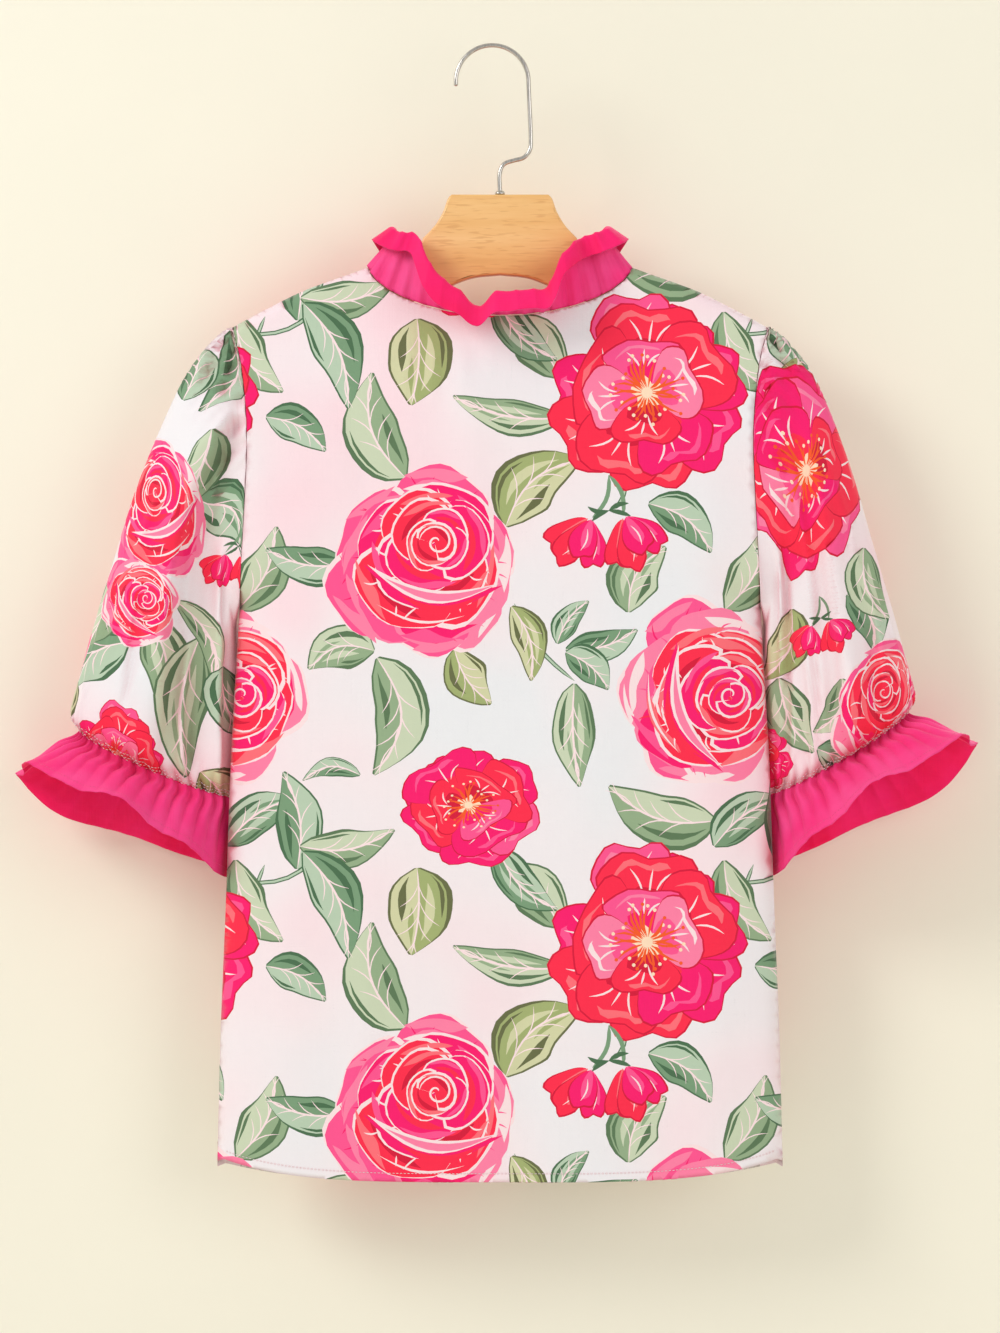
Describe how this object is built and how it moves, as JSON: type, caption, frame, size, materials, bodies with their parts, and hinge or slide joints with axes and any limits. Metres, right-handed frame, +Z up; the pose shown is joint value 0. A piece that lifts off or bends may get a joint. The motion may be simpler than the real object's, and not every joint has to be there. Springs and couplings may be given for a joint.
{
  "type": "blouse on a clothes hanger",
  "caption": "Short-sleeved blouse with a frilled V neck and frilled, gathered cuffs, hanging flat on a wooden hanger with a steel hook.",
  "frame": {"origin": "inner top of the hook's bend, where a rail carries the hanger", "axes": "+Z up; the blouse's back faces -Y and its front faces +Y; +X to the right when the back is seen"},
  "size_m": [0.6807, 0.1132, 0.8041],
  "materials": {
    "printed_cloth": "thin plain-woven cloth, white with a large red and pink rose print and green leaves, soft sheen",
    "pink_cloth": "thin plain-woven cloth, bright pink, soft sheen",
    "beech": "pale beech with fine flecks, clear satin lacquer",
    "steel": "bright bent wire"
  },
  "bodies": {
    "root": {"back_panel": "printed_cloth", "front_panel": "printed_cloth", "sleeve_left": "printed_cloth", "sleeve_right": "printed_cloth", "cuff_frill_left": "pink_cloth", "cuff_frill_right": "pink_cloth", "collar_frill": "pink_cloth", "hanger_wood": "beech", "hanger_hook": "steel", "hook_nut": "steel"}
  },
  "joints": []
}
